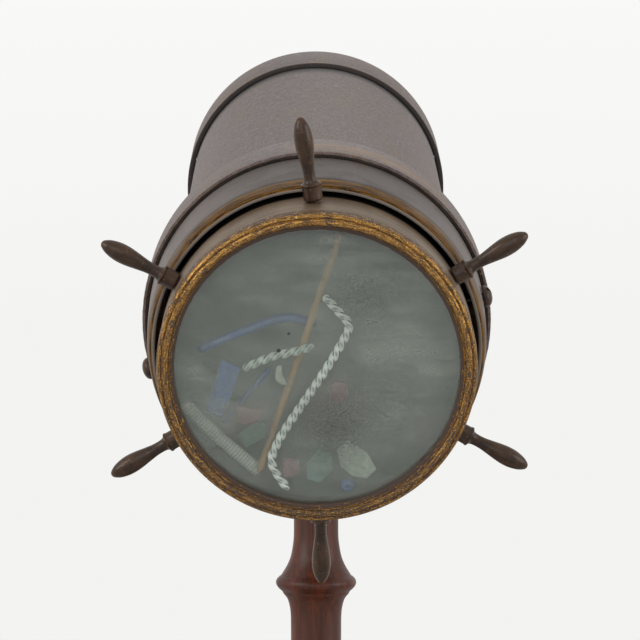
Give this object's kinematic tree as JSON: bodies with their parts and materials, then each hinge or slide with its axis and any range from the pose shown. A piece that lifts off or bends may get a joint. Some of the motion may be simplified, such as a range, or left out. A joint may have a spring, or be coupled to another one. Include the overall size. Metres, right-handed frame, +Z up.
{
  "type": "kaleidoscope",
  "caption": "Parlour kaleidoscope: cloth-covered barrel with a handled object wheel, tilting on a turned wooden column and round base.",
  "frame": {"origin": "centre of the base's underside, on the column's axis", "axes": "+Z up along the column; the object wheel faces -Y and the eyepiece points to +Y; +X to the right seen from the object wheel"},
  "size_m": [0.15, 0.2826, 0.3438],
  "materials": {
    "mahogany": "turned and polished, reddish brown, dulled by age",
    "old_brass": "aged brass with brown patina",
    "worn_gilt": "gilt, worn to brown on the edges",
    "dark_brass": "dark patinated brass, lighter where worn",
    "japanned_tin": "grey-mauve japanned tin with a worn gilt line",
    "covering_cloth": "embossed book cloth, grey-brown",
    "pasteboard": "raw dark edge",
    "plain_wood": "plain turned wood",
    "black_card": "blackened card",
    "mirror": "silvered plate glass",
    "frosted_glass": "dusty, faintly frosted",
    "clear_glass": "clear",
    "steel": "dark bolt steel",
    "white_glass": "clear and milky cane",
    "amber_glass": "amber cane",
    "blue_glass": "cobalt glass",
    "green_glass": "green glass",
    "red_glass": "red glass",
    "teal_glass": "teal glass"
  },
  "bodies": {
    "stand": {"base": "mahogany", "column": "mahogany", "pivot_fork": "old_brass", "fork_pin_right": "old_brass", "fork_pin_left": "old_brass", "pivot_bolt": "steel", "pivot_washer": "old_brass"},
    "thumb_nut": {"thumb_nut": "old_brass"},
    "barrel": {"barrel_tube": "pasteboard", "barrel_cover": "covering_cloth", "front_ring": "plain_wood", "shoulder_sleeve": "pasteboard", "shoulder_cover": "covering_cloth", "collar": "japanned_tin", "retaining_screw_right": "dark_brass", "retaining_screw_left": "dark_brass", "rear_band": "covering_cloth", "end_disc": "plain_wood", "eyepiece_ring": "old_brass", "eye_glass": "clear_glass", "eye_glass_ring": "old_brass", "mirror_left": "mirror", "mirror_right": "mirror", "mirror_shade": "black_card", "front_cradle": "plain_wood", "rear_cradle": "plain_wood", "front_mask": "black_card", "rear_mask": "black_card", "saddle_plate": "old_brass", "saddle_screw_1": "old_brass", "saddle_screw_2": "old_brass", "saddle_screw_3": "old_brass", "saddle_screw_4": "old_brass"},
    "object_wheel": {"wheel_drum": "old_brass", "front_bezel": "worn_gilt", "front_glass": "frosted_glass", "glass_spacer": "old_brass", "rear_glass": "clear_glass", "glass_retaining_ring": "old_brass", "handle_1": "dark_brass", "handle_2": "dark_brass", "handle_3": "dark_brass", "handle_4": "dark_brass", "handle_5": "dark_brass", "handle_6": "dark_brass", "twisted_rod_long": "white_glass", "twisted_rod_short": "white_glass", "amber_rod": "amber_glass", "blue_rod": "blue_glass", "blue_bent_rod": "blue_glass", "ribbed_rod": "white_glass", "blue_chip": "blue_glass", "white_chip": "white_glass", "green_chip": "green_glass", "red_chip": "red_glass", "pink_chip": "red_glass", "rose_chip": "red_glass", "teal_chip": "teal_glass", "pale_chip": "white_glass", "blue_bead": "blue_glass"}
  },
  "joints": [
    {"name": "barrel_tilt", "type": "hinge", "parent": "stand", "child": "barrel", "pos_m": [0, 0, 0.198], "axis": [1, 0, 0], "range_deg": [-31, 29]},
    {"name": "wheel_spin", "type": "hinge", "parent": "barrel", "child": "object_wheel", "pos_m": [0, -0.12793, 0.22332], "axis": [0, 0.9613, 0.2756], "continuous": true},
    {"name": "nut_turn", "type": "hinge", "parent": "stand", "child": "thumb_nut", "pos_m": [0, 0, 0.198], "axis": [1, 0, 0], "range_deg": [0, 360]}
  ]
}
